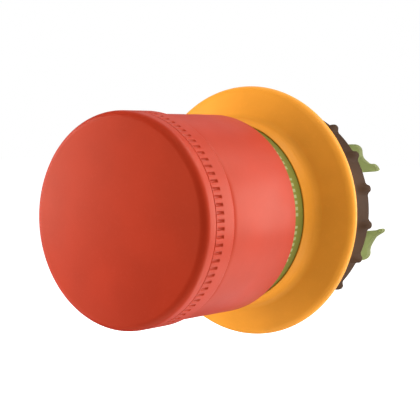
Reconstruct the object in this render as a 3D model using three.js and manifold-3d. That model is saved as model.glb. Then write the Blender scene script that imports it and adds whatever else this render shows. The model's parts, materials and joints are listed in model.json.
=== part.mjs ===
// Latching emergency stop button for a 22 mm panel hole, in millimetres.
//
// The button's axis lies along Y: the palm face looks towards -Y, and the panel is
// clamped behind the plane y = 0, which is the rear face of the front seal. +Z is up.
// Pushing the cap moves it along +Y; four latch slides follow the taper on its stem.

import * as THREE from 'three';
import { mergeVertices } from 'three/addons/utils/BufferGeometryUtils.js';
import Module from 'manifold-3d';

const wasm = await Module();
wasm.setup();

// Driving dimensions. Radii are measured from the button's axis; "front" and "rear"
// are stations along Y.
const TRAVEL = 4.5;
const GAP = 0.1;

const PALM = { radius: 19.1, front: -43.35, dome: 1.2, edge: 1.3, rear: -40.7 };
const SKIRT = { radius: 18.6, wall: 1.1, front: -40.5, bandRear: -35.4, stepRear: -33.9, rear: -15.25 };
const WEB = { front: -37.9, rear: -36.3, hole: 2.6 };
const SPIGOT = { outer: 17.2, inner: 15.2, rear: -38.6, floor: -41.6 };

const STEM = { slim: 5, thick: 6.2, flange: 11.5, front: -36.2, flangeRear: -34.6, rear: 9.6 };
const TAPER = { front: -11.8, rear: -11.8 + TRAVEL, shoulder: -1.7 };
const STEM_BORE = { front: 2.2, frontDepth: -22, rear: 2.5, rearDepth: 2 };
const CAP_SCREW = { shank: 1.9, head: 3.4, front: -40.8, headRear: -38.7, rear: -23, socket: 1.6 };
const SCREW_WASHER = { inner: 2.3, outer: 5.2, front: -38.6, rear: -38 };
const STOP_RING = { inner: 5.3, outer: 7.5, front: -1.6, rear: 0 };
const PLUNGER = { spigot: 2.2, radius: 4.6, front: 3, collar: 9.7, rear: 21.6, chamfer: 0.6 };

const COLLAR = { rim: 24.25, foot: 22.2, bore: 11.4, floor: -3.3, rear: -1.1 };
const LIP = { inner: 17.35, outer: 17.95, front: -10.5, edge: 0.3 };
const COVE = { radius: 2, centre: -8.7, end: 116 };
const RIM_EDGE = { radius: 1.95, front: -3.4, rear: -3.05 };
const SLEEVE = { inner: 16.2, outer: 17.1, front: -23.4, rear: -3.5 };
const FRONT_SEAL = { inner: 12.4, outer: 20.5, front: -1, rear: 0 };
const GASKET = { inner: 11.6, outer: 15.4, front: -4.2, rear: -3.4 };

const BARREL = { radius: 11, bore: 8.2, guide: 6.8, guideRear: -2, rear: 18.6 };
const FLANGE = { radius: 15.7, front: -5.9, rear: -4.3 };
const THREAD = { front: 2.2, pitch: 1.5, ridges: 8, depth: 0.65 };
const CLIP_GROOVE = { root: 10.2, front: 14.9, rear: 16.8 };
const KEY_RIB = { width: 3, top: 12, foot: 10.5, front: -0.9, rear: 1.2 };
const KEYWAY = { width: 3.4, root: 9.7, front: 0.8, rear: 15 };
const BUSHING = { inner: 5, outer: 7.9, front: 15.6, rear: 18 };

const CUP = { inner: 6.9, outer: 15.7, front: -10.4, rear: -6 };
const CHANNEL = { width: 4.6, end: 15, rear: -7.1 };
const COVER = { inner: 6.9, outer: 15.5, front: -12, rear: -10.5 };
const COVER_SCREW = { shank: 0.9, head: 1.9, front: -13.4, headRear: -12.1, rear: -5 };
const SCREW_HOLE = { radius: 1.2, place: 11.7, angles: [45, 225] };
const SPRING_SEAT = { inner: 6.9, outer: 9.4, front: -14.2, rear: -12.1 };
const STEM_SEAL = { inner: 5.3, outer: 6.6, front: -13.9, rear: -12.3 };

const SLIDE = { tip: 6.5, tipWidth: 2.4, width: 4, chamfer: 0.8, end: 11, peg: 1.2, pegEnd: 12.6 };
const SLIDE_FACE = { front: -10.2, rear: TAPER.rear };
const LATCH_SPRING = { radius: 1.25, wire: 0.25, turns: 4, start: 11.4, end: 14.7, sides: 4, steps: 8 };
const TRIP_SPRING = { radius: 8.2, wire: 0.7, turns: 5.5, start: -33.7, end: -15, sides: 5, steps: 10 };

const WASHER = { inner: 12.3, outer: 17.5, front: 2.1, rear: 2.8, tongueRoot: 10.2, tongueWidth: 3 };
const NUT = { inner: 11.4, outer: 20.1, front: 2.1, rear: 8.6 };
const NUT_LOBES = { count: 18, radius: 0.9, phase: 12.5, front: 6.2 };
const NUT_FRONT_RECESS = { radius: 17.9, rear: 3 };
const NUT_REAR_RECESS = { inner: 13.6, outer: 17.2, front: 5, rear: 9.6 };
const CLIP = { inner: 10.6, outer: 13.2, front: 15.1, rear: 16.6, turn: 5.2 };
const CLIP_MOUTH = 5.95;
const CLIP_SHOULDER = 58;

const FINE = 40;
const COARSE = 30;
const SMALL = 12;
const LOBE_SIDES = 8;

const FINISHES = {
  red: { color: 0xc8442f, roughness: 0.5, metalness: 0 },
  yellow: { color: 0xe08a22, roughness: 0.5, metalness: 0 },
  green: { color: 0x5f6a1e, roughness: 0.6, metalness: 0 },
  lightGreen: { color: 0x8db35a, roughness: 0.55, metalness: 0 },
  dark: { color: 0x4d4038, roughness: 0.6, metalness: 0 },
  black: { color: 0x1d1d1d, roughness: 0.8, metalness: 0 },
  grey: { color: 0x8c8f90, roughness: 0.55, metalness: 0 },
  steel: { color: 0xb4b6b8, roughness: 0.35, metalness: 1 },
};

const radians = THREE.MathUtils.degToRad;
const point = (radius, station) => new THREE.Vector2(radius, station);

// Points on an arc, angles in degrees from +radius towards +Y.
function arc(centreRadius, centreStation, radius, from, to, steps) {
  const points = [];
  for (let i = 0; i <= steps; i += 1) {
    const angle = radians(from + ((to - from) * i) / steps);
    points.push(point(centreRadius + radius * Math.cos(angle), centreStation + radius * Math.sin(angle)));
  }
  return points;
}

// Position-only geometry with shared vertices and no collapsed triangles.
function closed(geometry) {
  geometry.deleteAttribute('normal');
  geometry.deleteAttribute('uv');
  const merged = mergeVertices(geometry, 1e-4);
  const corners = merged.index.array;
  const kept = [];
  for (let i = 0; i < corners.length; i += 3) {
    const [a, b, c] = [corners[i], corners[i + 1], corners[i + 2]];
    if (a !== b && b !== c && c !== a) {
      kept.push(a, b, c);
    }
  }
  merged.setIndex(kept);
  return merged;
}

// A turned piece. The outline runs front face, outer wall, rear face, bore.
function turned(outline, segments) {
  return closed(new THREE.LatheGeometry(outline, segments));
}

function ring({ inner, outer, front, rear }, segments) {
  const outline = [point(inner, front), point(outer, front), point(outer, rear), point(inner, rear)];
  return turned([...outline, outline[0]], segments);
}

// A flat outline in X and Z, made thick along Y.
function plate(shape, front, rear, curveSegments) {
  const depth = rear - front;
  const geometry = new THREE.ExtrudeGeometry(shape, { depth, bevelEnabled: false, curveSegments });
  geometry.rotateX(Math.PI / 2);
  geometry.translate(0, rear, 0);
  return closed(geometry);
}

// A box given by its lowest and highest corners.
function block(low, high) {
  const [x, y, z] = [0, 1, 2].map((axis) => high[axis] - low[axis]);
  const geometry = new THREE.BoxGeometry(x, y, z);
  geometry.translate(low[0] + x / 2, low[1] + y / 2, low[2] + z / 2);
  return geometry;
}

function pin(radius, front, rear, x, z, segments) {
  const geometry = new THREE.CylinderGeometry(radius, radius, rear - front, segments);
  geometry.translate(x, (front + rear) / 2, z);
  return geometry;
}

function solidOf(geometry) {
  const shared = closed(geometry);
  const vertProperties = new Float32Array(shared.attributes.position.array);
  const triVerts = new Uint32Array(shared.index.array);
  return new wasm.Manifold(new wasm.Mesh({ numProp: 3, vertProperties, triVerts }));
}

function geometryOf(solid) {
  const mesh = solid.getMesh();
  const geometry = new THREE.BufferGeometry();
  geometry.setAttribute('position', new THREE.BufferAttribute(new Float32Array(mesh.vertProperties), 3));
  geometry.setIndex([...mesh.triVerts]);
  return geometry;
}

function cut(body, cutters) {
  return geometryOf(cutters.reduce((solid, cutter) => solid.subtract(solidOf(cutter)), solidOf(body)));
}

function joined(body, additions) {
  return geometryOf(additions.reduce((solid, addition) => solid.add(solidOf(addition)), solidOf(body)));
}

// Wire wound about Y between two stations.
class Helix extends THREE.Curve {
  constructor(radius, turns, start, end) {
    super();
    Object.assign(this, { radius, turns, start, end });
  }

  getPoint(t, target = new THREE.Vector3()) {
    const angle = 2 * Math.PI * this.turns * t;
    const station = this.start + (this.end - this.start) * t;
    return target.set(this.radius * Math.cos(angle), station, this.radius * Math.sin(angle));
  }
}

function coil(spring) {
  const section = new THREE.Shape();
  for (let i = 0; i < spring.sides; i += 1) {
    const angle = (2 * Math.PI * i) / spring.sides;
    const corner = [spring.wire * Math.cos(angle), spring.wire * Math.sin(angle)];
    i === 0 ? section.moveTo(...corner) : section.lineTo(...corner);
  }
  const extrudePath = new Helix(spring.radius, spring.turns, spring.start, spring.end);
  const steps = Math.round(spring.turns * spring.steps);
  return closed(new THREE.ExtrudeGeometry(section, { steps, extrudePath, bevelEnabled: false }));
}

function piece(name, finish, geometry) {
  geometry.computeVertexNormals();
  const material = new THREE.MeshStandardMaterial({ ...FINISHES[finish], flatShading: true });
  const mesh = new THREE.Mesh(geometry, material);
  mesh.name = name;
  return mesh;
}

// Cap ---------------------------------------------------------------------------------

function capFace() {
  const flat = PALM.radius - PALM.edge;
  const dome = [];
  const rings = 3;
  for (let i = 0; i < rings; i += 1) {
    dome.push(point((flat * i) / rings, PALM.front - PALM.dome * (1 - (i / rings) ** 2)));
  }
  const edge = arc(flat, PALM.front + PALM.edge, PALM.edge, -90, 0, 4);
  const back = [
    point(PALM.radius, PALM.rear),
    point(SPIGOT.outer, PALM.rear),
    point(SPIGOT.outer, SPIGOT.rear),
    point(SPIGOT.inner, SPIGOT.rear),
    point(SPIGOT.inner, SPIGOT.floor),
    point(0, SPIGOT.floor),
  ];
  return turned([...dome, ...edge, ...back], FINE);
}

function capSkirt() {
  const inner = SKIRT.radius - SKIRT.wall;
  return turned([
    point(inner, SKIRT.front),
    point(PALM.radius, SKIRT.front),
    point(PALM.radius, SKIRT.bandRear),
    point(SKIRT.radius, SKIRT.stepRear),
    point(SKIRT.radius, SKIRT.rear),
    point(inner, SKIRT.rear),
    point(inner, WEB.rear),
    point(WEB.hole, WEB.rear),
    point(WEB.hole, WEB.front),
    point(inner, WEB.front),
    point(inner, SKIRT.front),
  ], FINE);
}

function capStem() {
  return turned([
    point(0, STEM_BORE.frontDepth),
    point(STEM_BORE.front, STEM_BORE.frontDepth),
    point(STEM_BORE.front, STEM.front),
    point(STEM.flange, STEM.front),
    point(STEM.flange, STEM.flangeRear),
    point(STEM.slim, STEM.flangeRear),
    point(STEM.slim, TAPER.front),
    point(STEM.thick, TAPER.rear),
    point(STEM.thick, TAPER.shoulder),
    point(STEM.slim, TAPER.shoulder),
    point(STEM.slim, STEM.rear),
    point(STEM_BORE.rear, STEM.rear),
    point(STEM_BORE.rear, STEM_BORE.rearDepth),
    point(0, STEM_BORE.rearDepth),
  ], COARSE);
}

function capScrew() {
  const body = turned([
    point(0, CAP_SCREW.front),
    point(CAP_SCREW.head, CAP_SCREW.front),
    point(CAP_SCREW.head, CAP_SCREW.headRear),
    point(CAP_SCREW.shank, CAP_SCREW.headRear),
    point(CAP_SCREW.shank, CAP_SCREW.rear),
    point(0, CAP_SCREW.rear),
  ], SMALL);
  const hexSides = 6;
  const socket = pin(CAP_SCREW.socket, CAP_SCREW.front - 1, CAP_SCREW.front + 1.2, 0, 0, hexSides);
  return cut(body, [socket]);
}

function screwWasher() {
  return ring(SCREW_WASHER, COARSE);
}

function contactPlunger() {
  return turned([
    point(0, PLUNGER.front),
    point(PLUNGER.spigot, PLUNGER.front),
    point(PLUNGER.spigot, PLUNGER.collar),
    point(PLUNGER.radius, PLUNGER.collar),
    point(PLUNGER.radius, PLUNGER.rear - PLUNGER.chamfer),
    point(PLUNGER.radius - PLUNGER.chamfer, PLUNGER.rear),
    point(0, PLUNGER.rear),
  ], COARSE);
}

// Collar and barrel -------------------------------------------------------------------

function collar() {
  const lipMiddle = (LIP.inner + LIP.outer) / 2;
  return turned([
    point(COLLAR.bore, COLLAR.floor),
    point(LIP.inner, COLLAR.floor),
    ...arc(lipMiddle, LIP.front + LIP.edge, LIP.edge, -180, 0, 4),
    ...arc(LIP.outer + COVE.radius, COVE.centre, COVE.radius, 180, COVE.end, 3),
    ...arc(COLLAR.rim - RIM_EDGE.radius, RIM_EDGE.front, RIM_EDGE.radius, -70, 0, 3),
    point(COLLAR.rim, RIM_EDGE.rear),
    point(COLLAR.foot, COLLAR.rear),
    point(COLLAR.bore, COLLAR.rear),
    point(COLLAR.bore, COLLAR.floor),
  ], FINE);
}

// The thread is drawn as separate ridges at the real pitch.
function threadOutline() {
  const points = [];
  for (let i = 0; i < THREAD.ridges; i += 1) {
    const start = THREAD.front + i * THREAD.pitch;
    points.push(point(BARREL.radius - THREAD.depth, start));
    points.push(point(BARREL.radius, start + THREAD.pitch / 2));
  }
  points.push(point(BARREL.radius - THREAD.depth, THREAD.front + THREAD.ridges * THREAD.pitch));
  return points;
}

function screwPlaces() {
  return SCREW_HOLE.angles.map((angle) => [
    SCREW_HOLE.place * Math.cos(radians(angle)),
    SCREW_HOLE.place * Math.sin(radians(angle)),
  ]);
}

function screwHoles(front, rear) {
  return screwPlaces().map(([x, z]) => pin(SCREW_HOLE.radius, front - 1, rear + 1, x, z, SMALL));
}

function barrel() {
  const body = turned([
    point(BARREL.guide, FLANGE.front),
    point(FLANGE.radius, FLANGE.front),
    point(FLANGE.radius, FLANGE.rear),
    point(BARREL.radius, FLANGE.rear),
    point(BARREL.radius, THREAD.front - THREAD.depth),
    ...threadOutline(),
    point(BARREL.radius, CLIP_GROOVE.front - GAP),
    point(CLIP_GROOVE.root, CLIP_GROOVE.front),
    point(CLIP_GROOVE.root, CLIP_GROOVE.rear),
    point(BARREL.radius, CLIP_GROOVE.rear),
    point(BARREL.radius, BARREL.rear),
    point(BARREL.bore, BARREL.rear),
    point(BARREL.bore, BARREL.guideRear),
    point(BARREL.guide, BARREL.guideRear),
    point(BARREL.guide, FLANGE.front),
  ], COARSE);
  const rib = block(
    [-KEY_RIB.width / 2, KEY_RIB.front, KEY_RIB.foot],
    [KEY_RIB.width / 2, KEY_RIB.rear, KEY_RIB.top],
  );
  const keyway = block(
    [-KEYWAY.width / 2, KEYWAY.front, -BARREL.radius - 1],
    [KEYWAY.width / 2, KEYWAY.rear, -KEYWAY.root],
  );
  return cut(joined(body, [rib]), [keyway, ...screwHoles(FLANGE.front, FLANGE.rear)]);
}

// Latch ---------------------------------------------------------------------------------

function latchCup() {
  const channels = [0, 1, 2, 3].map((i) => {
    const low = [0, CUP.front - 1, -CHANNEL.width / 2];
    const high = [CHANNEL.end, CHANNEL.rear, CHANNEL.width / 2];
    return block(low, high).rotateY((Math.PI / 2) * i);
  });
  const body = ring(CUP, FINE);
  return cut(body, [...channels, ...screwHoles(CUP.front, CUP.rear)]);
}

function latchCover() {
  const body = ring(COVER, FINE);
  return cut(body, screwHoles(COVER.front, COVER.rear));
}

function coverScrew() {
  const body = turned([
    point(0, COVER_SCREW.front),
    point(COVER_SCREW.head, COVER_SCREW.front),
    point(COVER_SCREW.head, COVER_SCREW.headRear),
    point(COVER_SCREW.shank, COVER_SCREW.headRear),
    point(COVER_SCREW.shank, COVER_SCREW.rear),
    point(0, COVER_SCREW.rear),
  ], SMALL);
  const slot = block(
    [-COVER_SCREW.head - 1, COVER_SCREW.front - 1, -0.25],
    [COVER_SCREW.head + 1, COVER_SCREW.front + 0.6, 0.25],
  );
  return cut(body, [slot]);
}

// Drawn along +X, the way the channel runs before its group turns it.
function latchSlide() {
  const shape = new THREE.Shape();
  shape.moveTo(SLIDE.tip, -SLIDE.tipWidth / 2);
  shape.lineTo(SLIDE.tip + SLIDE.chamfer, -SLIDE.width / 2);
  shape.lineTo(SLIDE.end, -SLIDE.width / 2);
  shape.lineTo(SLIDE.end, SLIDE.width / 2);
  shape.lineTo(SLIDE.tip + SLIDE.chamfer, SLIDE.width / 2);
  shape.lineTo(SLIDE.tip, SLIDE.tipWidth / 2);
  shape.closePath();
  const body = plate(shape, SLIDE_FACE.front, SLIDE_FACE.rear, 1);
  const middle = (SLIDE_FACE.front + SLIDE_FACE.rear) / 2;
  const peg = block(
    [SLIDE.end - 1, middle - SLIDE.peg / 2, -SLIDE.peg / 2],
    [SLIDE.pegEnd, middle + SLIDE.peg / 2, SLIDE.peg / 2],
  );
  return joined(body, [peg]);
}

// The coil is wound about Y, then laid along its slide.
function latchSpring(name) {
  const along = { start: 0, end: LATCH_SPRING.end - LATCH_SPRING.start };
  const mesh = piece(name, 'steel', coil({ ...LATCH_SPRING, ...along }));
  mesh.rotation.z = -Math.PI / 2;
  mesh.position.set(LATCH_SPRING.start, (SLIDE_FACE.front + SLIDE_FACE.rear) / 2, 0);
  return mesh;
}

function latches() {
  return [1, 2, 3, 4].map((number) => {
    const latch = new THREE.Group();
    latch.add(piece(`latch_slide_${number}`, 'grey', latchSlide()));
    latch.add(latchSpring(`latch_spring_${number}`));
    latch.rotation.y = (-Math.PI / 2) * (number - 1);
    return latch;
  });
}

// Fastening -----------------------------------------------------------------------------

function lockWasher() {
  const tongue = block(
    [-WASHER.tongueWidth / 2, WASHER.front, -WASHER.inner - 1],
    [WASHER.tongueWidth / 2, WASHER.rear, -WASHER.tongueRoot],
  );
  return joined(ring(WASHER, FINE), [tongue]);
}

// A plain ring with short round lobes at its rear edge for the fingers.
function lockNut() {
  const lobes = [];
  for (let i = 0; i < NUT_LOBES.count; i += 1) {
    const angle = radians(NUT_LOBES.phase + (360 * i) / NUT_LOBES.count);
    const [x, z] = [NUT.outer * Math.cos(angle), NUT.outer * Math.sin(angle)];
    lobes.push(pin(NUT_LOBES.radius, NUT_LOBES.front, NUT.rear, x, z, LOBE_SIDES));
  }
  const frontRecess = pin(NUT_FRONT_RECESS.radius, NUT.front - 1, NUT_FRONT_RECESS.rear, 0, 0, FINE);
  const rearRecess = ring(NUT_REAR_RECESS, FINE);
  return cut(joined(ring(NUT, FINE), lobes), [frontRecess, rearRecess]);
}

// One ear of the clip, from its mouth edge to its shoulder, for the +Z side.
function earPoints() {
  return [
    [Math.sqrt(CLIP.inner ** 2 - CLIP_MOUTH ** 2), CLIP_MOUTH],
    [18, CLIP_MOUTH - 0.1],
    [18.5, 6.25],
    [18.2, 6.9],
    [16.8, 7.3],
    [15.4, 8.8],
    [15.1, 9.4],
    [15.3, 10.6],
    [14.7, 11.4],
    [13.6, 11.8],
    [11.7, 11.8],
    [9.8, 11],
    [CLIP.outer * Math.cos(radians(CLIP_SHOULDER)), CLIP.outer * Math.sin(radians(CLIP_SHOULDER))],
  ];
}

function lockingClip() {
  const upper = earPoints();
  const lower = upper.map(([x, z]) => [x, -z]).reverse();
  const mouthAngle = Math.asin(CLIP_MOUTH / CLIP.inner);
  const shape = new THREE.Shape();
  shape.moveTo(...upper[0]);
  upper.slice(1).forEach((corner) => shape.lineTo(...corner));
  shape.absarc(0, 0, CLIP.outer, radians(CLIP_SHOULDER), radians(360 - CLIP_SHOULDER), false);
  lower.slice(1).forEach((corner) => shape.lineTo(...corner));
  shape.absarc(0, 0, CLIP.inner, -mouthAngle, mouthAngle - 2 * Math.PI, true);
  const curveSegments = 12;
  return plate(shape, CLIP.front, CLIP.rear, curveSegments);
}

// Assembly --------------------------------------------------------------------------------

function capGroup() {
  const group = new THREE.Group();
  group.add(piece('cap_face', 'red', capFace()));
  group.add(piece('cap_skirt', 'red', capSkirt()));
  group.add(piece('cap_stem', 'grey', capStem()));
  group.add(piece('cap_screw', 'steel', capScrew()));
  group.add(piece('screw_washer', 'steel', screwWasher()));
  group.add(piece('stop_ring', 'steel', ring(STOP_RING, COARSE)));
  group.add(piece('contact_plunger', 'grey', contactPlunger()));
  return group;
}

function housingGroup() {
  const group = new THREE.Group();
  group.add(piece('collar', 'yellow', collar()));
  group.add(piece('front_seal', 'black', ring(FRONT_SEAL, FINE)));
  group.add(piece('flange_gasket', 'black', ring(GASKET, FINE)));
  group.add(piece('barrel', 'dark', barrel()));
  group.add(piece('indicator_sleeve', 'green', ring(SLEEVE, FINE)));
  group.add(piece('latch_cup', 'grey', latchCup()));
  group.add(piece('latch_cover', 'grey', latchCover()));
  group.add(piece('spring_seat', 'steel', ring(SPRING_SEAT, COARSE)));
  group.add(piece('stem_seal', 'black', ring(STEM_SEAL, COARSE)));
  group.add(piece('rear_bushing', 'dark', ring(BUSHING, COARSE)));
  screwPlaces().forEach(([x, z], i) => {
    const screw = piece(`cover_screw_${i + 1}`, 'steel', coverScrew());
    screw.position.set(x, 0, z);
    group.add(screw);
  });
  return group;
}

function fasteningGroup() {
  const group = new THREE.Group();
  group.add(piece('lock_washer', 'steel', lockWasher()));
  group.add(piece('lock_nut', 'dark', lockNut()));
  const clip = piece('locking_clip', 'lightGreen', lockingClip());
  clip.rotation.y = -radians(CLIP.turn);
  group.add(clip);
  return group;
}

const button = new THREE.Group();
button.add(capGroup());
button.add(housingGroup());
button.add(fasteningGroup());
button.add(...latches());
button.add(piece('trip_spring', 'steel', coil(TRIP_SPRING)));

export default button;
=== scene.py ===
"""Emergency stop button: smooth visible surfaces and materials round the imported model.

Outlines are lists of (radius, station) in millimetres, as on a lathe drawing: the radius is
measured from the button's axis and the station along Y, which runs from the palm face (-Y)
to the contact plunger (+Y). A third number rounds that corner.
"""

import json
import math

import bmesh
import bpy
from mathutils import Matrix, Vector


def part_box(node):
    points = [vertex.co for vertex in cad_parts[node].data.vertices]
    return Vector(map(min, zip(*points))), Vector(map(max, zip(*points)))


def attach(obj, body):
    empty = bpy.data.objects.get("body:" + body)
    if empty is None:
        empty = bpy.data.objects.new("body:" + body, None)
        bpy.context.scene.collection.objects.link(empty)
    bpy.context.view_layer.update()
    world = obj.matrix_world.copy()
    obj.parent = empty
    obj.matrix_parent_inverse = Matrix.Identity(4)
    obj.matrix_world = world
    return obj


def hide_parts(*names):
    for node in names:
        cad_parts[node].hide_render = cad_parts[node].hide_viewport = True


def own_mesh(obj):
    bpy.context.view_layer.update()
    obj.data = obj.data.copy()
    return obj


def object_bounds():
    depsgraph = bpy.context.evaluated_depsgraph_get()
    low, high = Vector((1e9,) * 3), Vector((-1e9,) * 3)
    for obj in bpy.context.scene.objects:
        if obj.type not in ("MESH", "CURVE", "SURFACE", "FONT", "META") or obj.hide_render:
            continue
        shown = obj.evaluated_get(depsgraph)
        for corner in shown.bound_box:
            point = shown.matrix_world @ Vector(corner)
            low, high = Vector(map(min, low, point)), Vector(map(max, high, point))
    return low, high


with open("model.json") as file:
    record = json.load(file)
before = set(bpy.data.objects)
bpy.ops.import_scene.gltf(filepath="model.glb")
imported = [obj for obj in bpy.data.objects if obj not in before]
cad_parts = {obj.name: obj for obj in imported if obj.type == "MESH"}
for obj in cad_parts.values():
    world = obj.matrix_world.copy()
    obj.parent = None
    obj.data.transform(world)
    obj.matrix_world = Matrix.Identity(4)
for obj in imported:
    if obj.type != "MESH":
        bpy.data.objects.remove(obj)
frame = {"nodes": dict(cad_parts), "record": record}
cad_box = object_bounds()

MM = 0.001

# Segments round the axis, by how large and how visible a piece is.
FINE = 256
MEDIUM = 144
SMALL = 48


# Sizes read from the frame -------------------------------------------------------------


def stations(node):
    """Front and rear station of a node, in millimetres."""
    low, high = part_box(node)
    return low.y / MM, high.y / MM


def outer_radius(node):
    """Radius of a node that is centred on the axis, in millimetres."""
    low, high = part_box(node)
    return (high.x - low.x) / 2 / MM


palm_front, palm_rear = stations("cap_face")
skirt_front, skirt_rear = stations("cap_skirt")
palm_radius = outer_radius("cap_face")
collar_front, collar_rear = stations("collar")
rim_radius = outer_radius("collar")
sleeve_front, sleeve_rear = stations("indicator_sleeve")
sleeve_radius = outer_radius("indicator_sleeve")
seal_front, seal_rear = stations("front_seal")
washer_front, washer_rear = stations("lock_washer")
nut_front, nut_rear = stations("lock_nut")
barrel_front, barrel_rear = stations("barrel")
clip_front, clip_rear = stations("locking_clip")
bushing_front, bushing_rear = stations("rear_bushing")
plunger_front, plunger_rear = stations("contact_plunger")
stem_front, stem_rear = stations("cap_stem")


# Mesh helpers --------------------------------------------------------------------------


def arc(centre_radius, centre_station, radius, start, end, steps=16):
    """Points on an arc, angles in degrees from +radius towards +Y."""
    angles = [math.radians(start + (end - start) * i / steps) for i in range(steps + 1)]
    return [
        (centre_radius + radius * math.cos(a), centre_station + radius * math.sin(a))
        for a in angles
    ]


def softened(corners, closed=True, steps=6):
    """Rounds each corner that carries a third number, with a quadratic curve."""
    count = len(corners)
    points = []
    for i, corner in enumerate(corners):
        here = Vector(corner[:2])
        inside = closed or 0 < i < count - 1
        if len(corner) < 3 or not inside:
            points.append(tuple(here))
            continue
        before = Vector(corners[i - 1][:2]) - here
        after = Vector(corners[(i + 1) % count][:2]) - here
        reach = min(corner[2], before.length * 0.49, after.length * 0.49)
        start = here + before.normalized() * reach
        end = here + after.normalized() * reach
        for k in range(steps + 1):
            t = k / steps
            point = start * (1 - t) ** 2 + here * 2 * t * (1 - t) + end * t**2
            points.append(tuple(point))
    return points


def finish_mesh(name, mesh, body, material, nodes, sharp=35):
    """Closes a bmesh into a named piece with outward normals, material and frame calls."""
    bmesh.ops.remove_doubles(mesh, verts=mesh.verts, dist=1e-7)
    bmesh.ops.recalc_face_normals(mesh, faces=mesh.faces)
    limit = math.radians(sharp)
    for face in mesh.faces:
        face.smooth = True
    for edge in mesh.edges:
        if len(edge.link_faces) == 2 and edge.calc_face_angle() > limit:
            edge.smooth = False
    data = bpy.data.meshes.new(name)
    mesh.to_mesh(data)
    mesh.free()
    piece = bpy.data.objects.new(name, data)
    bpy.context.scene.collection.objects.link(piece)
    data.materials.append(material)
    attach(piece, body)
    if nodes:
        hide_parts(*nodes)
    return piece


def surface(rings, closed_profile):
    """A bmesh from rings of points, each running once round the axis or one point on it."""
    mesh = bmesh.new()
    made = []
    for points in rings:
        made.append([mesh.verts.new(point) for point in points])
    pairs = list(zip(made, made[1:]))
    if closed_profile:
        pairs.append((made[-1], made[0]))
    for first, second in pairs:
        size = max(len(first), len(second))
        for k in range(size):
            n = (k + 1) % size
            corners = [first[k % len(first)], first[n % len(first)]]
            corners += [second[n % len(second)], second[k % len(second)]]
            unique = list(dict.fromkeys(corners))
            if len(unique) > 2:
                mesh.faces.new(unique)
    return mesh


def spaced(count):
    """Angles spaced evenly round the axis."""
    return [2 * math.pi * k / count for k in range(count)]


def turned_mesh(outline, angles, reshape=None):
    """A lathe surface. reshape(index, angle) replaces the radius of an outline point."""
    on_axis = outline[0][0] < 1e-6
    rings = []
    for index, (radius, station) in enumerate(outline):
        if radius < 1e-6:
            rings.append([Vector((0, station, 0)) * MM])
            continue
        ring = []
        for angle in angles:
            r = reshape(index, angle) if reshape else radius
            ring.append(Vector((r * math.cos(angle), station, r * math.sin(angle))) * MM)
        rings.append(ring)
    return surface(rings, not on_axis)


def turned(name, outline, body, material, nodes, segments=MEDIUM):
    """A finished piece turned from an outline."""
    mesh = turned_mesh(outline, spaced(segments))
    return finish_mesh(name, mesh, body, material, nodes)


def plate(outlines, front, rear, bevel):
    """Flat outlines in X and Z made thick along Y, with rounded edges; inner ones are holes."""
    curve = bpy.data.curves.new("outline", "CURVE")
    curve.dimensions = "2D"
    curve.fill_mode = "BOTH"
    curve.extrude = ((rear - front) / 2 - bevel) * MM
    curve.bevel_depth = bevel * MM
    curve.bevel_resolution = 4
    curve.offset = -bevel * MM
    for outline in outlines:
        spline = curve.splines.new("POLY")
        spline.points.add(len(outline) - 1)
        for point, (x, z) in zip(spline.points, outline):
            point.co = (x * MM, z * MM, 0, 1)
        spline.use_cyclic_u = True
    holder = bpy.data.objects.new("outline", curve)
    bpy.context.scene.collection.objects.link(holder)
    graph = bpy.context.evaluated_depsgraph_get()
    shape = bpy.data.meshes.new_from_object(holder.evaluated_get(graph))
    bpy.data.objects.remove(holder)
    mesh = bmesh.new()
    mesh.from_mesh(shape)
    middle = (front + rear) / 2 * MM
    for vert in mesh.verts:
        x, z, across = vert.co
        vert.co = (x, middle + across, z)
    return mesh


# Materials -----------------------------------------------------------------------------


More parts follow.
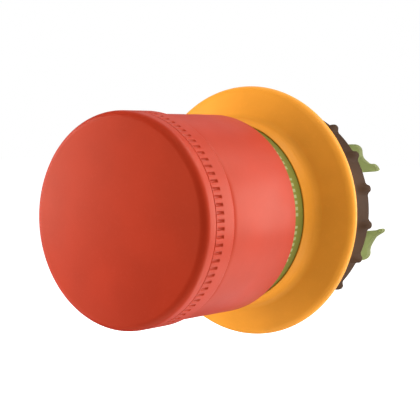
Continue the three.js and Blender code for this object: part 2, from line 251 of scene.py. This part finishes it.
class Shade:
    """A small wrapper that keeps node building readable."""

    def __init__(self, name):
        self.material = bpy.data.materials.new(name)
        self.material.use_nodes = True
        self.tree = self.material.node_tree
        self.shader = self.tree.nodes["Principled BSDF"]
        self.place = self.add("ShaderNodeTexCoord").outputs["Object"]

    def add(self, kind, **settings):
        node = self.tree.nodes.new(kind)
        for key, value in settings.items():
            setattr(node, key, value)
        return node

    def link(self, source, target):
        self.tree.links.new(source, target)

    def set(self, **values):
        for key, value in values.items():
            self.shader.inputs[key.replace("_", " ")].default_value = value

    def noise(self, scale, detail=2.0, roughness=0.5):
        node = self.add("ShaderNodeTexNoise")
        node.inputs["Scale"].default_value = scale
        node.inputs["Detail"].default_value = detail
        node.inputs["Roughness"].default_value = roughness
        self.link(self.place, node.inputs["Vector"])
        return node.outputs["Fac"]

    def ramp(self, value, *stops):
        node = self.add("ShaderNodeValToRGB")
        elements = node.color_ramp.elements
        for position, colour in stops[2:]:
            elements.new(position)
        for element, (position, colour) in zip(elements, stops):
            element.position = position
            element.color = (*colour, 1)
        self.link(value, node.inputs["Fac"])
        return node.outputs["Color"]

    def spread(self, value, low, high):
        """Maps a 0 to 1 value onto low to high."""
        node = self.add("ShaderNodeMapRange")
        node.inputs["To Min"].default_value = low
        node.inputs["To Max"].default_value = high
        self.link(value, node.inputs["Value"])
        return node.outputs["Result"]

    def math(self, operation, first, second=None, third=None):
        node = self.add("ShaderNodeMath", operation=operation)
        for socket, value in zip(node.inputs, (first, second, third)):
            if value is None:
                continue
            if isinstance(value, (int, float)):
                socket.default_value = value
            else:
                self.link(value, socket)
        return node.outputs[0]

    def mix(self, factor, first, second):
        node = self.add("ShaderNodeMix", data_type="RGBA")
        self.link(factor, node.inputs["Factor"])
        for socket, colour in ((node.inputs["A"], first), (node.inputs["B"], second)):
            if isinstance(colour, tuple):
                socket.default_value = (*colour, 1)
            else:
                self.link(colour, socket)
        return node.outputs["Result"]

    def bump(self, height, strength, distance):
        node = self.add("ShaderNodeBump")
        node.inputs["Strength"].default_value = strength
        node.inputs["Distance"].default_value = distance
        self.link(height, node.inputs["Height"])
        self.link(node.outputs["Normal"], self.shader.inputs["Normal"])

    def colour(self, socket):
        self.link(socket, self.shader.inputs["Base Color"])

    def roughness(self, socket):
        self.link(socket, self.shader.inputs["Roughness"])


def moulded(
    name,
    colour,
    roughness,
    shift=0.06,
    grain=0.25,
    grain_size=0.18,
    specular=0.15,
    tint=(1, 1, 1),
):
    """Satin moulded plastic: fine spark-eroded grain, faint flow marks and colour drift.

    shift is how far the colour drifts either way, grain the strength of the bump and
    grain_size its size in millimetres.
    """
    shade = Shade(name)
    drift = shade.noise(90, detail=3)
    dark = tuple(c * (1 - shift) for c in colour)
    light = tuple(min(1, c * (1 + shift)) for c in colour)
    speckle = shade.noise(1500, detail=2)
    base = shade.ramp(drift, (0.35, dark), (0.65, light))
    paler = tuple(min(1, c * 1.12 + 0.01) for c in colour)
    fleck = shade.math("MULTIPLY", shade.math("GREATER_THAN", speckle, 0.62), 0.12)
    shade.colour(shade.mix(fleck, base, paler))
    flow = shade.noise(240, detail=4)
    shade.roughness(shade.spread(flow, roughness - 0.05, roughness + 0.06))
    erosion = shade.noise(1 / (grain_size * MM), detail=3, roughness=0.6)
    height = shade.math("ADD", erosion, shade.math("MULTIPLY", flow, 0.6))
    shade.bump(height, grain, 0.00002)
    shade.set(Specular_IOR_Level=specular, Specular_Tint=(*tint, 1))
    return shade


# The printed dashes: how many fit round the ring, in how many groups, and where.
DASH_COUNT = 96
DASH_GROUPS = 12
DASH_STATION = skirt_rear + 2.6
DASH_HALF = 0.4


def green_plastic():
    """Olive ring with a row of plain printed dashes next to the skirt."""
    shade = moulded("green_plastic", (0.165, 0.162, 0.022), 0.5, shift=0.08, specular=0.08)
    parts = shade.add("ShaderNodeSeparateXYZ")
    shade.link(shade.place, parts.inputs[0])
    angle = shade.math("ARCTAN2", parts.outputs["Z"], parts.outputs["X"])
    turns = shade.math("MULTIPLY", angle, 1 / (2 * math.pi))
    dash = shade.math("FRACT", shade.math("MULTIPLY", turns, DASH_COUNT))
    group = shade.math("FRACT", shade.math("MULTIPLY", turns, DASH_GROUPS))
    dash_on = shade.math("LESS_THAN", dash, 0.55)
    group_on = shade.math("LESS_THAN", group, 0.8)
    across = shade.math("COMPARE", parts.outputs["Y"], DASH_STATION * MM, DASH_HALF * MM)
    printed = shade.math("MULTIPLY", shade.math("MULTIPLY", dash_on, group_on), across)
    printed = shade.math("MULTIPLY", printed, 0.75)
    base = shade.shader.inputs["Base Color"].links[0].from_socket
    shade.colour(shade.mix(printed, base, (0.36, 0.42, 0.2)))
    return shade.material


def clip_plastic():
    """Light green plastic that lets through part of the light that falls on its far side."""
    shade = moulded("light_green_plastic", (0.2, 0.2, 0.1), 0.5, shift=0.08, specular=0.04)
    glow = shade.add("ShaderNodeBsdfTranslucent")
    glow.inputs["Color"].default_value = (0.5, 0.54, 0.32, 1)
    blend = shade.add("ShaderNodeMixShader")
    blend.inputs["Fac"].default_value = 0.6
    shade.link(shade.shader.outputs["BSDF"], blend.inputs[1])
    shade.link(glow.outputs["BSDF"], blend.inputs[2])
    shade.link(blend.outputs["Shader"], shade.tree.nodes["Material Output"].inputs["Surface"])
    return shade.material


def zinc_steel(name, colour=(0.56, 0.57, 0.58), roughness=0.34):
    """Zinc-plated or drawn steel with a fine, slightly streaked finish."""
    shade = Shade(name)
    streak = shade.noise(700, detail=4)
    patch = shade.noise(160, detail=3)
    darker = tuple(c * 0.72 for c in colour)
    shade.colour(shade.ramp(patch, (0.3, darker), (0.7, colour)))
    shade.roughness(shade.spread(streak, roughness - 0.1, roughness + 0.14))
    shade.bump(streak, 0.15, 0.00001)
    shade.set(Metallic=1.0)
    return shade.material


RED = moulded(
    "red_plastic", (0.4, 0.0275, 0.0092), 0.42, specular=0.1, tint=(1, 0.75, 0.35)
).material
YELLOW = moulded(
    "yellow_plastic", (0.8, 0.305, 0.03), 0.42, specular=0.09, tint=(1, 0.85, 0.5)
).material
GREEN = green_plastic()
LIGHT_GREEN = clip_plastic()
DARK = moulded(
    "dark_plastic", (0.05, 0.024, 0.011), 0.6, shift=0.2, grain=0.5, grain_size=0.3, specular=0.03
).material
GREY = moulded("grey_plastic", (0.27, 0.28, 0.29), 0.5, shift=0.08).material
RUBBER = moulded(
    "black_rubber", (0.016, 0.016, 0.017), 0.78, shift=0.2, grain=0.5, grain_size=0.25
).material
STEEL = zinc_steel("zinc_steel")
WIRE = zinc_steel("spring_wire", (0.42, 0.42, 0.43), 0.28)


# Cap -----------------------------------------------------------------------------------

# The palm's edge rounding, and how high and how evenly its face is domed.
EDGE = 1.6
DOME = 1.2
DOME_POWER = 2.2

# Keeps the dome inside the CAD box, past what a float can round away.
INSET = 0.001

# The rim that plugs into the skirt, and the fine line where palm and skirt meet.
SPIGOT_OUTER = 17.2
SPIGOT_INNER = 15.2
SPIGOT_FLOOR = -41.6
PARTING = skirt_front + 0.22
PARTING_GAP = 0.005


def palm_face():
    """Domed face with a rounded edge, over a rim that plugs into the skirt."""
    flat = palm_radius - EDGE
    edge_plane = palm_front + INSET + DOME
    rings = 24
    dome = [
        (flat * i / rings, edge_plane - DOME * (1 - (i / rings) ** DOME_POWER))
        for i in range(rings)
    ]
    slope = math.degrees(math.atan(DOME * DOME_POWER / flat))
    rim = arc(flat, edge_plane + EDGE, EDGE, slope - 90, 0)
    back = softened(
        [
            (palm_radius, edge_plane + EDGE),
            (palm_radius, PARTING, 0.16),
            (SPIGOT_OUTER, PARTING),
            (SPIGOT_OUTER, palm_rear, 0.3),
            (SPIGOT_INNER, palm_rear, 0.3),
            (SPIGOT_INNER, SPIGOT_FLOOR, 0.4),
            (0, SPIGOT_FLOOR),
        ],
        closed=False,
    )
    turned("palm_face", dome + rim + back[1:], "cap", RED, ["cap_face"], FINE)


SLOT_COUNT = 88
SLOT_PHASE = -0.52

# Points across one slot's pitch, and the share of the slot's depth at each.
SLOT_COLUMNS = (-0.5, -0.3, -0.22, -0.16, -0.08, 0.0, 0.08, 0.16, 0.22, 0.3)
SLOT_FLOOR = (0, 0, 0.12, 0.7, 1, 1, 1, 0.7, 0.12, 0)

# Stations along a slot, from the skirt's front, and its depth at each.
SLOT_STATIONS = (0.42, 0.5, 0.62, 0.9, 1.4, 1.9, 2.2, 2.4, 2.52)
SLOT_DEPTHS = (0, 0.14, 0.26, 0.32, 0.32, 0.29, 0.23, 0.1, 0)

# The web behind the palm that carries the stem, then the end of the band and of the step.
WEB_FRONT = -37.9
WEB_REAR = -36.3
WEB_HOLE = 2.6
BAND_REAR = -35.05
STEP_REAR = -33.7


def grip_skirt():
    """Skirt with a ring of narrow slots, a plain band and a step down to its wall."""
    radius = palm_radius
    skirt = radius - 0.5
    inner = skirt - 1.1
    start = PARTING + PARTING_GAP
    front = softened([(inner, start), (radius, start, 0.16), (radius, start + 1)], False)
    grip = [(radius, skirt_front + s) for s in SLOT_STATIONS]
    rest = softened(
        [
            (radius, WEB_FRONT),
            (radius, BAND_REAR, 0.5),
            (skirt - 0.18, BAND_REAR + 0.35, 0.25),
            (skirt, STEP_REAR, 0.4),
            (skirt, skirt_rear, 0.3),
            (inner, skirt_rear, 0.3),
            (inner, WEB_REAR, 0.6),
            (WEB_HOLE, WEB_REAR, 0.2),
            (WEB_HOLE, WEB_FRONT, 0.2),
            (inner, WEB_FRONT),
        ],
        closed=False,
    )
    outline = front[:-1] + grip + rest
    first = len(front) - 1
    depth_at = {first + i: depth for i, depth in enumerate(SLOT_DEPTHS)}
    turn = 2 * math.pi / SLOT_COUNT
    angles = [
        turn * (slot + place + SLOT_PHASE)
        for slot in range(SLOT_COUNT)
        for place in SLOT_COLUMNS
    ]
    floor_at = dict(zip(angles, SLOT_FLOOR * SLOT_COUNT))

    def slotted(index, angle):
        return outline[index][0] - depth_at.get(index, 0) * floor_at[angle]

    mesh = turned_mesh(outline, angles, slotted)
    finish_mesh("grip_skirt", mesh, "cap", RED, ["cap_skirt"])


STEM_FLANGE = 11.5
STEM_FLANGE_REAR = -34.6
STEM_SLIM = 5
STEM_THICK = 6.2
TAPER_FRONT = -11.8
TAPER_REAR = -7.3
SHOULDER = -1.7


def stem():
    """Stem with a flange for the cap, a taper for the latches and a shoulder behind it."""
    outline = softened(
        [
            (0, -22),
            (2.2, -22, 0.3),
            (2.2, stem_front, 0.3),
            (STEM_FLANGE, stem_front, 0.3),
            (STEM_FLANGE, STEM_FLANGE_REAR, 0.3),
            (STEM_SLIM, STEM_FLANGE_REAR, 0.8),
            (STEM_SLIM, TAPER_FRONT, 0.8),
            (STEM_THICK, TAPER_REAR, 0.8),
            (STEM_THICK, SHOULDER, 0.25),
            (STEM_SLIM, SHOULDER, 0.2),
            (STEM_SLIM, stem_rear, 0.4),
            (2.5, stem_rear, 0.2),
            (2.5, 2, 0.3),
            (0, 2),
        ],
        closed=False,
    )
    turned("stem", outline, "cap", GREY, ["cap_stem"])


def plunger():
    """Contact plunger: spigot in the stem, a waist, and a dimpled end."""
    radius = outer_radius("contact_plunger")
    outline = softened(
        [
            (0, plunger_front),
            (2.2, plunger_front, 0.3),
            (2.2, 9.7, 0.15),
            (radius, 9.7, 0.3),
            (radius, 13, 0.3),
            (radius - 0.5, 13.6, 0.3),
            (radius - 0.5, 15, 0.3),
            (radius, 15.6, 0.3),
            (radius, plunger_rear, 1.0),
            (1.6, plunger_rear, 0.3),
            (1.3, plunger_rear - 0.7, 0.3),
            (0, plunger_rear - 0.7),
        ],
        closed=False,
    )
    turned("plunger", outline, "cap", GREY, ["contact_plunger"])


# Collar and what it holds ----------------------------------------------------------------


def collar_bell():
    """Trumpet-shaped collar: thin upright lip, cove, shallow cone and rounded rim."""
    floor = -3.3
    bore = 11.4
    lip_inner = sleeve_radius + 0.04
    lip_outer = sleeve_radius + 0.85
    back = softened(
        [
            (rim_radius, -3.4),
            (rim_radius - 0.05, -3.05, 0.2),
            (22.2, collar_rear, 0.6),
            (bore, collar_rear, 0.2),
            (bore, floor, 0.2),
        ],
        closed=False,
    )
    lip = softened(
        [
            (12, floor),
            (lip_inner, floor, 0.3),
            (lip_inner, collar_front, 0.08),
            (lip_inner + 0.22, collar_front, 0.15),
            (lip_inner + 0.42, collar_front + 0.6, 0.5),
            (lip_outer, collar_front + 1.8),
        ],
        closed=False,
    )
    cove = arc(lip_outer + 2, -8.7, 2, 180, 116)
    rim = arc(rim_radius - 1.95, -3.4, 1.95, -66, 0)
    outline = back[-1:] + lip[1:] + cove + rim + back[1:-1]
    turned("collar_bell", outline, "housing", YELLOW, ["collar"], FINE)


def indicator_ring():
    """Green sleeve that the skirt covers when the cap is pressed."""
    inner = sleeve_radius - 0.9
    outline = softened(
        [
            (inner, sleeve_front, 0.2),
            (sleeve_radius, sleeve_front, 0.3),
            (sleeve_radius, sleeve_rear, 0.2),
            (inner, sleeve_rear, 0.2),
        ]
    )
    turned("indicator_ring", outline, "housing", GREEN, ["indicator_sleeve"], FINE)


def seal():
    """Flat seal with two low beads on the face that meets the panel."""
    radius = outer_radius("front_seal")
    bore = 12.4
    outline = softened(
        [
            (bore, seal_front, 0.2),
            (radius, seal_front, 0.3),
            (radius, seal_rear, 0.35),
            (radius - 1.6, seal_rear, 0.2),
            (radius - 2.0, seal_rear - 0.3, 0.2),
            (radius - 3.2, seal_rear - 0.3, 0.2),
            (radius - 3.6, seal_rear, 0.2),
            (bore, seal_rear, 0.2),
        ]
    )
    turned("seal", outline, "housing", RUBBER, ["front_seal"])


# Behind the panel ------------------------------------------------------------------------

BARREL_RADIUS = 11.0
BARREL_BORE = 8.2
GUIDE_BORE = 6.8
GUIDE_REAR = -2
FLANGE_RADIUS = 15.7
FLANGE_REAR = -4.3
THREAD_PITCH = 1.5
THREAD_DEPTH = 0.62
THREAD_FRONT = 2.2
THREAD_REAR = 14.2
# Front, rear, then radius and half width where there is one.
CLIP_GROOVE = (14.9, 16.8, 10.2)
KEYWAY = (0.8, 15.0, 9.7, 1.7)
KEY_RIB = (-0.9, 1.2, 12.0, 1.5)


def flat_across(angle, middle, half_width, height, outer):
    """Radius of a flat floor or top centred on an angle, or None outside its width."""
    offset = (angle - middle + math.pi) % (2 * math.pi) - math.pi
    if abs(offset) > math.asin(half_width / outer) + 1e-6:
        return None
    return height / math.cos(offset)


def barrel_outline():
    """The barrel's outline and the stretch of it that carries the thread."""
    groove_front, groove_rear, groove_root = CLIP_GROOVE
    thread = []
    count = int((THREAD_REAR - THREAD_FRONT) / THREAD_PITCH * 8)
    for i in range(count + 1):
        thread.append((BARREL_RADIUS, THREAD_FRONT + i * THREAD_PITCH / 8))
    front = softened(
        [
            (GUIDE_BORE, barrel_front, 0.2),
            (FLANGE_RADIUS, barrel_front, 0.3),
            (FLANGE_RADIUS, FLANGE_REAR, 0.3),
            (BARREL_RADIUS, FLANGE_REAR, 0.3),
            (BARREL_RADIUS, KEY_RIB[0] - 0.02),
            (BARREL_RADIUS, KEY_RIB[0]),
            (BARREL_RADIUS, KEYWAY[0] - 0.02),
            (BARREL_RADIUS, KEYWAY[0]),
            (BARREL_RADIUS, KEY_RIB[1]),
            (BARREL_RADIUS, KEY_RIB[1] + 0.02),
            (BARREL_RADIUS, THREAD_FRONT - 0.4),
        ],
        closed=False,
    )
    rear = softened(
        [
            (BARREL_RADIUS, THREAD_REAR),
            (BARREL_RADIUS, groove_front - 0.1, 0.1),
            (groove_root, groove_front, 0.1),
            (groove_root, KEYWAY[1]),
            (groove_root, KEYWAY[1] + 0.02),
            (groove_root, groove_rear, 0.15),
            (BARREL_RADIUS, groove_rear, 0.2),
            (BARREL_RADIUS, barrel_rear, 0.4),
            (BARREL_BORE, barrel_rear, 0.3),
            (BARREL_BORE, GUIDE_REAR, 0.3),
            (GUIDE_BORE, GUIDE_REAR, 0.3),
            (GUIDE_BORE, barrel_front),
        ],
        closed=False,
    )
    return front + thread + rear[1:], len(front), len(front) + len(thread) - 1


def thread_cut(station, angle):
    """How deep the helical thread is cut at a station and an angle."""
    phase = (station / THREAD_PITCH - angle / (2 * math.pi)) % 1
    depth = abs(phase - 0.5) * 2
    run_out = min(station - THREAD_FRONT, THREAD_REAR - station) / 0.8
    return THREAD_DEPTH * min(1, max(0, depth * 1.35 - 0.2)) * min(1, max(0, run_out))


def barrel_body():
    """Barrel with a real thread, keyway and key rib, the clip's groove and the collar's flange."""
    outline, first, last = barrel_outline()

    def shaped(index, angle):
        radius, station = outline[index]
        if first <= index <= last:
            radius -= thread_cut(station, angle)
        if radius < 10 or radius > BARREL_RADIUS:
            return radius
        if KEYWAY[0] <= station <= KEYWAY[1]:
            floor = flat_across(angle, -math.pi / 2, KEYWAY[3], KEYWAY[2], BARREL_RADIUS)
            radius = min(radius, floor or radius)
        if KEY_RIB[0] <= station <= KEY_RIB[1]:
            top = flat_across(angle, math.pi / 2, KEY_RIB[3], KEY_RIB[2], BARREL_RADIUS)
            radius = top or radius
        return radius

    walls = []
    for middle, half_width in ((-math.pi / 2, KEYWAY[3]), (math.pi / 2, KEY_RIB[3])):
        half = math.asin(half_width / BARREL_RADIUS)
        for side in (-1, 1):
            walls += [middle + side * half, middle + side * (half + 0.001)]
    angles = sorted(a % (2 * math.pi) for a in spaced(MEDIUM) + walls)
    mesh = turned_mesh(outline, angles, shaped)
    finish_mesh("barrel_body", mesh, "housing", DARK, ["barrel"], sharp=60)


def bushing():
    """Ring that guides the stem, with a shallow groove in its rear face."""
    outline = softened(
        [
            (5, bushing_front, 0.3),
            (7.9, bushing_front, 0.2),
            (7.9, bushing_rear, 0.3),
            (6.6, bushing_rear, 0.15),
            (6.4, bushing_rear - 0.4, 0.15),
            (5.6, bushing_rear - 0.4, 0.15),
            (5.4, bushing_rear, 0.15),
            (5, bushing_rear, 0.2),
        ]
    )
    turned("bushing", outline, "housing", DARK, ["rear_bushing"], SMALL * 2)


NUT_RADIUS = 20.1
NUT_RIM = 19.2
LOBE_COUNT = 18
LOBE_RADIUS = 0.9
LOBE_PHASE = 12.5


def lobe_swell(angle, lift):
    """How far the lobed edge stands out from the nut's plain wall at an angle."""
    pitch = 2 * math.pi / LOBE_COUNT
    offset = (angle - math.radians(LOBE_PHASE) + pitch / 2) % pitch - pitch / 2
    across = NUT_RADIUS * math.sin(offset)
    if abs(across) >= LOBE_RADIUS:
        return 0.0
    return lift * math.sqrt(LOBE_RADIUS**2 - across**2)


def lock_ring():
    """Lock nut: plain ring with round grip lobes at its rear edge, recessed on both faces."""
    lobe_lift = {}
    outline = []

    def along_wall(radius, start, end, count, lift):
        for i in range(count + 1):
            t = i / count
            lobe_lift[len(outline)] = lift(t)
            outline.append((radius, start + (end - start) * t))

    outline += softened(
        [(11.4, 3.4), (11.4, 3, 0.2), (17.9, 3, 0.2), (17.9, nut_front, 0.2), (18.6, nut_front)],
        closed=False,
    )
    outline += softened(
        [(18.6, nut_front), (NUT_RADIUS, nut_front, 0.45), (NUT_RADIUS, 3.4)],
        closed=False,
    )[1:-1]
    along_wall(NUT_RADIUS, 3.4, 3.8, 1, lambda t: 0)
    along_wall(NUT_RADIUS, 3.9, nut_rear - 0.6, 16, lambda t: t * t * (3 - 2 * t))
    along_wall(NUT_RADIUS, nut_rear - 0.5, nut_rear - 0.35, 1, lambda t: 1)
    edge = softened(
        [(NUT_RADIUS, nut_rear - 0.35), (NUT_RADIUS, nut_rear, 0.35), (NUT_RIM, nut_rear)],
        closed=False,
    )
    for point in edge[1:]:
        lobe_lift[len(outline)] = max(0.0, (point[0] - NUT_RIM) / (NUT_RADIUS - NUT_RIM))
        outline.append(point)
    outline += softened(
        [
            (18, nut_rear),
            (17.2, nut_rear, 0.3),
            (17.2, 5, 0.4),
            (13.6, 5, 0.4),
            (13.6, nut_rear, 0.3),
            (11.4, nut_rear, 0.3),
            (11.4, 3.6),
        ],
        closed=False,
    )[1:]

    def lobed(index, angle):
        return outline[index][0] + lobe_swell(angle, lobe_lift.get(index, 0))

    mesh = turned_mesh(outline, spaced(LOBE_COUNT * 20), lobed)
    finish_mesh("lock_ring", mesh, "nut", DARK, ["lock_nut"], sharp=50)


CLIP_INNER = 10.6
CLIP_OUTER = 13.2
CLIP_TURN = 5.2
CLIP_MOUTH = 5.95
CLIP_SHOULDER = 58
CLIP_BEVEL = 0.15
UPPER_EAR = (
    (18.1, 5.9, 0.3),
    (18.7, 6.2, 0.25),
    (18.25, 7.0, 0.4),
    (17.6, 7.5, 0.4),
    (16.6, 7.5, 0.4),
    (15.25, 8.7, 0.5),
    (14.95, 9.5, 0.5),
    (15.0, 10.6, 0.5),
    (14.45, 11.35, 0.5),
    (13.5, 11.76, 0.5),
    (11.7, 11.8, 0.8),
    (9.8, 11.0, 0.8),
)
LOWER_EAR = (
    (17.5, 5.8, 0.4),
    (18.4, 5.5, 0.4),
    (18.95, 5.75, 0.3),
    (18.6, 6.35, 0.35),
    (17.6, 6.75, 0.4),
    (16.8, 7.2, 0.4),
    (15.7, 8.6, 0.5),
    (15.2, 9.5, 0.5),
    (15.2, 10.6, 0.5),
    (14.6, 11.35, 0.5),
    (13.6, 11.76, 0.5),
    (11.7, 11.8, 0.8),
    (9.8, 11.0, 0.8),
)


def clip_outline():
    """C-shaped spring clip with a hooked ear on each side of its mouth, as (x, z) points."""
    mouth_x = math.sqrt(CLIP_INNER**2 - CLIP_MOUTH**2)
    mouth = math.degrees(math.asin(CLIP_MOUTH / CLIP_INNER))
    corner = (mouth_x, CLIP_MOUTH, 0.3)
    upper = [corner, *UPPER_EAR]
    lower = [(x, -z, reach) for x, z, reach in reversed([corner, *LOWER_EAR])]
    outer = arc(0, 0, CLIP_OUTER, CLIP_SHOULDER, 360 - CLIP_SHOULDER, 72)
    inner = arc(0, 0, CLIP_INNER, -mouth, mouth - 360, 72)
    return softened(upper + outer + lower + inner[1:-1])


def clip():
    """The spring clip, turned a little in the barrel's groove."""
    mesh = plate([clip_outline()], clip_front, clip_rear, CLIP_BEVEL)
    turn = Matrix.Rotation(-math.radians(CLIP_TURN), 4, "Y")
    bmesh.ops.transform(mesh, matrix=turn, verts=mesh.verts)
    finish_mesh("clip", mesh, "housing", LIGHT_GREEN, ["locking_clip"])


def washer():
    """Flat steel washer with a tongue that runs in the barrel's keyway."""
    inner, outer, tongue, half = 12.3, 17.5, 10.2, 1.5
    side = math.degrees(math.asin(half / inner))
    bore = arc(0, 0, inner, -90 + side, 270 - side, 96)
    key = softened([bore[-1], (-half, -tongue, 0.4), (half, -tongue, 0.4), bore[0]], closed=False)
    edge = arc(0, 0, outer, 0, 360, 144)[1:]
    mesh = plate([edge, bore + key[1:-1]], washer_front, washer_rear, 0.12)
    finish_mesh("washer", mesh, "washer", STEEL, ["lock_washer"])


# Radius to the wire's centre, the wire's own radius, and the centres of the end turns.
SPRING_RADIUS = 8.2
SPRING_WIRE = 0.7
SPRING_TURNS = 5.5
SPRING_FRONT = -33.7
SPRING_REAR = -15.0
SPRING_SIDES = 12
SPRING_STEPS = 40


def spring_station(turn):
    """Centre of the wire along Y: the first and last turns lie close, the rest are open."""
    closed_pitch = 2 * SPRING_WIRE + 0.05
    open_pitch = (SPRING_REAR - SPRING_FRONT - 2 * closed_pitch) / (SPRING_TURNS - 2)
    start = closed_pitch * min(turn, 1)
    middle = open_pitch * min(max(turn - 1, 0), SPRING_TURNS - 2)
    return SPRING_FRONT + start + middle + closed_pitch * max(turn - (SPRING_TURNS - 1), 0)


def coil():
    """Trip spring of round wire with closed end turns, built at one fixed length; the cap going in
    presses the real spring shorter.
    """
    mesh = bmesh.new()
    rings = []
    steps = round(SPRING_TURNS * SPRING_STEPS)
    for i in range(steps + 1):
        turn = SPRING_TURNS * i / steps
        outward = Vector((math.cos(2 * math.pi * turn), 0, math.sin(2 * math.pi * turn)))
        middle = outward * SPRING_RADIUS + Vector((0, spring_station(turn), 0))
        section = [outward * math.cos(a) + Vector((0, math.sin(a), 0)) for a in spaced(SPRING_SIDES)]
        rings.append([mesh.verts.new((middle + spoke * SPRING_WIRE) * MM) for spoke in section])
    for first, second in zip(rings, rings[1:]):
        for k in range(SPRING_SIDES):
            n = (k + 1) % SPRING_SIDES
            mesh.faces.new((first[k], first[n], second[n], second[k]))
    mesh.faces.new(rings[0])
    mesh.faces.new(rings[-1])
    spring = finish_mesh("coil", mesh, "housing", WIRE, ["trip_spring"])
    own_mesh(spring)


# Assembly ------------------------------------------------------------------------------------


def carried_over():
    """Hidden CAD nodes keep their shape and take a finished material."""
    finishes = {
        "red_cap": RED,
        "yellow_collar": YELLOW,
        "green_sleeve": GREEN,
        "light_green_clip": LIGHT_GREEN,
        "dark_plastic": DARK,
        "grey_plastic": GREY,
        "black_rubber": RUBBER,
        "steel": STEEL,
        "spring_steel": WIRE,
    }
    slots = {part["node"]: part["material_slot"] for part in frame["record"]["subparts"]}
    for name, node in frame["nodes"].items():
        for material_slot in node.material_slots:
            material_slot.material = finishes[slots[name]]


# Half the floor's width and its distance below the button, in metres.
FLOOR_HALF = 3.0
FLOOR_GAP = 0.06

# How bright the world is for everything but the camera, which sees it white.
WORLD_LEVEL = 0.19


def studio():
    """Pale floor that only the camera sees, and an even pale world."""
    floor = bpy.data.meshes.new("floor")
    half = FLOOR_HALF
    height = cad_box[0].z - FLOOR_GAP
    corners = [(-half, -half), (half, -half), (half, half), (-half, half)]
    floor.from_pydata([(x, y, height) for x, y in corners], [], [(0, 1, 2, 3)])
    ground = bpy.data.objects.new("floor", floor)
    bpy.context.scene.collection.objects.link(ground)
    shade = Shade("floor_paper")
    shade.colour(shade.ramp(shade.noise(4), (0.3, (0.9, 0.9, 0.9)), (0.7, (0.95, 0.95, 0.95))))
    shade.set(Roughness=0.9, Emission_Color=(1, 1, 1, 1), Emission_Strength=1.0)
    floor.materials.append(shade.material)
    ground.visible_diffuse = False
    ground.visible_glossy = False
    ground.visible_shadow = False

    world = bpy.data.worlds.new("studio")
    bpy.context.scene.world = world
    world.use_nodes = True
    nodes, links = world.node_tree.nodes, world.node_tree.links
    background = nodes["Background"]
    background.inputs["Color"].default_value = (1, 1, 1, 1)
    rays = nodes.new("ShaderNodeLightPath")
    level = nodes.new("ShaderNodeMapRange")
    level.inputs["To Min"].default_value = WORLD_LEVEL
    level.inputs["To Max"].default_value = 1.0
    links.new(rays.outputs["Is Camera Ray"], level.inputs["Value"])
    links.new(level.outputs["Result"], background.inputs["Strength"])


# The middle of the cap, in metres.
LIGHT_AIM = Vector((0, -0.02, 0))


def direction(azimuth, elevation):
    """A unit vector; azimuth 0 is in front of the palm face and 90 is to its right (+X)."""
    a, e = math.radians(azimuth), math.radians(elevation)
    return Vector((math.sin(a) * math.cos(e), -math.cos(a) * math.cos(e), math.sin(e)))


def softbox(name, azimuth, elevation, distance, size, power):
    """A square area light that looks at the cap from a distance in metres."""
    toward = direction(azimuth, elevation)
    light = bpy.data.lights.new(name, "AREA")
    light.shape = "SQUARE"
    light.size = size
    light.energy = power
    holder = bpy.data.objects.new(name, light)
    bpy.context.scene.collection.objects.link(holder)
    holder.location = LIGHT_AIM + toward * distance
    holder.rotation_euler = toward.to_track_quat("Z", "Y").to_euler()


# Name, azimuth, elevation, distance and size in metres, power in watts.
LIGHTS = (
    ("front_panel", -14, 4, 0.5, 0.3, 0.98),
    ("left_under", -40, -50, 0.5, 0.3, 0.3),
    ("near_left_high", -60, 15, 0.16, 0.12, 0.237),
    ("near_left_low", -60, -15, 0.16, 0.12, 0.105),
    ("right_rear_high", 143, 45, 0.5, 0.3, 2.2),
    ("right_level", 95, 15, 0.5, 0.3, 0.55),
    ("right_rear_level", 147, 5, 0.5, 0.3, 2.7),
    ("right_rear_low", 143, -35, 0.5, 0.3, 1.2),
    ("right_low", 120, -35, 0.5, 0.3, 0.8),
    ("rear_low", 180, -35, 0.5, 0.3, 0.4),
    ("left_rear_high", -150, 45, 0.5, 0.3, 0.3),
    ("top", 30, 62, 0.5, 0.3, 0.75),
    ("right_under", 60, -45, 0.5, 0.3, 0.28),
    ("below", 0, -85, 0.5, 0.4, 1.1),
)

# Angles in degrees, distances in millimetres.
CAMERA_AZIMUTH = 36.453
CAMERA_ELEVATION = 3.46
CAMERA_ROLL = 0.089
CAMERA_DISTANCE = 260.94
CAMERA_SIDE = -10.0
CAMERA_LIFT = -0.101


def camera():
    """The photograph's viewing angle: 36.5 degrees right of the face, 3.5 degrees above it."""
    azimuth = math.radians(CAMERA_AZIMUTH)
    roll = math.radians(CAMERA_ROLL)
    back = direction(CAMERA_AZIMUTH, CAMERA_ELEVATION)
    right = Vector((math.cos(azimuth), math.sin(azimuth), 0))
    up = back.cross(right)
    rolled_right = right * math.cos(roll) + up * math.sin(roll)
    rolled_up = up * math.cos(roll) - right * math.sin(roll)
    target = Vector((0, 0.6, 0)) * MM
    offset = rolled_right * CAMERA_SIDE + rolled_up * CAMERA_LIFT + back * CAMERA_DISTANCE
    place = target + offset * MM
    data = bpy.data.cameras.new("camera")
    data.lens = 112.727
    data.sensor_width = 36
    data.clip_start = 0.01
    holder = bpy.data.objects.new("camera", data)
    axes = Matrix((rolled_right, rolled_up, back)).transposed().to_4x4()
    holder.matrix_world = Matrix.Translation(place) @ axes
    bpy.context.scene.collection.objects.link(holder)
    bpy.context.scene.camera = holder


camera()
carried_over()
palm_face()
grip_skirt()
stem()
plunger()
collar_bell()
indicator_ring()
seal()
barrel_body()
bushing()
lock_ring()
clip()
washer()
coil()
studio()
for light in LIGHTS:
    softbox(*light)
bpy.context.scene.view_settings.view_transform = "Standard"
